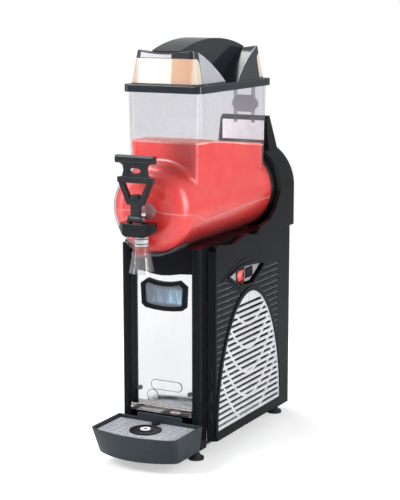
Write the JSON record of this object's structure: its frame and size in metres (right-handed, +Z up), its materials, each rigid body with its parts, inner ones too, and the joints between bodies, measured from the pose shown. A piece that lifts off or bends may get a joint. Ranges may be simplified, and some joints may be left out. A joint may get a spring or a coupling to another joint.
{
  "type": "slush machine",
  "caption": "Counter-top frozen drink dispenser: a clear bowl with a turning auger over a cooling cabinet, a pull tap and a drip tray.",
  "frame": {"origin": "on the counter, under the centre of the footprint (the drip tray's front to the back panel)", "axes": "+Z up, -Y towards the customer (the tap's side), +X to the side with the switches"},
  "size_m": [0.2, 0.522, 0.7765],
  "materials": {
    "black_gloss": "glossy moulded",
    "black_satin": "satin moulded",
    "tray_slate": "satin moulded",
    "grid_grey": "satin moulded",
    "float_white": "glossy",
    "mirror_steel": "mirror polished stainless sheet",
    "steel": "brushed",
    "zinc_sheet": "zinc-plated sheet",
    "motor_paint": "semi-gloss enamel",
    "fin_stock": "mill finish",
    "copper": "bright copper",
    "circuit_board": "solder resist",
    "display_window": "tinted window",
    "silver_plastic": "silver-grey moulded",
    "red_lens": "lit translucent red",
    "foot_rubber": "matt",
    "white_plastic": "food-grade moulded",
    "clear_bowl": "clear polycarbonate",
    "slush": "icy, wet",
    "lamp_lens": "translucent warm white",
    "lamp_white": "satin"
  },
  "bodies": {
    "casing": {"base_pan": "zinc_sheet", "front_column_left": "black_gloss", "front_column_right": "black_gloss", "rear_column_left": "black_gloss", "rear_column_right": "black_gloss", "feet": "foot_rubber", "front_panel": "mirror_steel", "kick_panel": "mirror_steel", "panel_screws": "steel", "display_bezel": "black_gloss", "display_lens": "display_window", "control_board": "circuit_board", "top_deck": "black_gloss", "drip_gutter": "clear_bowl", "side_cover_left": "black_gloss", "side_cover_right": "black_gloss", "louvres": "black_gloss", "switch_plate": "silver_plastic", "blanking_plate": "black_satin", "switch_housings": "black_satin", "back_panel": "zinc_sheet", "power_cord": "black_satin", "rear_tower": "black_gloss", "contact_plate": "float_white", "bowl_gasket": "foot_rubber", "evaporator": "steel", "evaporator_coil": "copper", "shaft_seal": "foot_rubber", "gearmotor": "motor_paint", "motor_plate": "zinc_sheet", "compressor": "motor_paint", "condenser": "fin_stock", "fan_shroud": "steel", "fan_motor": "motor_paint", "filter_drier": "copper", "refrigerant_lines": "copper"},
    "grille_right": {"grille_right": "silver_plastic"},
    "grille_left": {"grille_left": "silver_plastic"},
    "power_rocker": {"power_rocker": "red_lens"},
    "mode_rocker": {"mode_rocker": "black_satin"},
    "auger": {"auger": "white_plastic", "drive_shaft": "steel"},
    "fan": {"fan_blades": "black_satin"},
    "bowl": {"bowl": "clear_bowl", "spout_skirt": "clear_bowl", "slush_fill": "slush", "tap_collar": "black_gloss", "tap_pin": "steel"},
    "tap_handle": {"tap_handle": "black_gloss"},
    "tap_piston": {"tap_piston": "white_plastic", "piston_rings": "foot_rubber", "tap_spring": "steel"},
    "lid": {"lid_shell": "black_gloss", "lid_trims": "silver_plastic", "lid_lenses": "lamp_lens", "lid_lamps": "lamp_white"},
    "drip_tray": {"drip_tray": "tray_slate"},
    "drip_grid": {"drip_grid": "grid_grey", "drip_disc": "black_satin"},
    "overflow_float": {"overflow_float": "float_white"}
  },
  "joints": [
    {"name": "bowl_slide", "type": "slide", "parent": "casing", "child": "bowl", "axis": [0, -1, 0], "range_m": [0, 0.38]},
    {"name": "lid_lift", "type": "slide", "parent": "bowl", "child": "lid", "axis": [0, 0, 1], "range_m": [0, 0.1]},
    {"name": "handle_pull", "type": "hinge", "parent": "bowl", "child": "tap_handle", "pos_m": [0, -0.223, 0.464], "axis": [1, 0, 0], "range_deg": [0, 40]},
    {"name": "piston_lift", "type": "slide", "parent": "bowl", "child": "tap_piston", "axis": [0, 0, 1], "range_m": [0, 0.0145], "deforming": ["tap_spring"]},
    {"name": "auger_spin", "type": "hinge", "parent": "casing", "child": "auger", "pos_m": [0, -0.139, 0.474], "axis": [0, 1, 0], "continuous": true},
    {"name": "fan_spin", "type": "hinge", "parent": "casing", "child": "fan", "pos_m": [0.036, 0.011, 0.16], "axis": [1, 0, 0], "continuous": true},
    {"name": "power_press", "type": "hinge", "parent": "casing", "child": "power_rocker", "pos_m": [0.0905, 0.008, 0.329], "axis": [0, 1, 0], "range_deg": [0, 12]},
    {"name": "mode_press", "type": "hinge", "parent": "casing", "child": "mode_rocker", "pos_m": [0.0905, 0.045, 0.33], "axis": [0, 1, 0], "range_deg": [0, 12]},
    {"name": "tray_slide", "type": "slide", "parent": "casing", "child": "drip_tray", "axis": [0, -1, 0], "range_m": [0, 0.14]},
    {"name": "grid_lift", "type": "slide", "parent": "drip_tray", "child": "drip_grid", "axis": [0, 0, 1], "range_m": [0, 0.06]},
    {"name": "float_rise", "type": "slide", "parent": "drip_grid", "child": "overflow_float", "axis": [0, 0, 1], "range_m": [0, 0.009]},
    {"name": "grille_right_off", "type": "slide", "parent": "casing", "child": "grille_right", "axis": [1, 0, 0], "range_m": [0, 0.05]},
    {"name": "grille_left_off", "type": "slide", "parent": "casing", "child": "grille_left", "axis": [-1, 0, 0], "range_m": [0, 0.05]}
  ],
  "couplings": [
    {"joint": "piston_lift", "follows": "handle_pull", "m_per_rad": 0.0205}
  ]
}
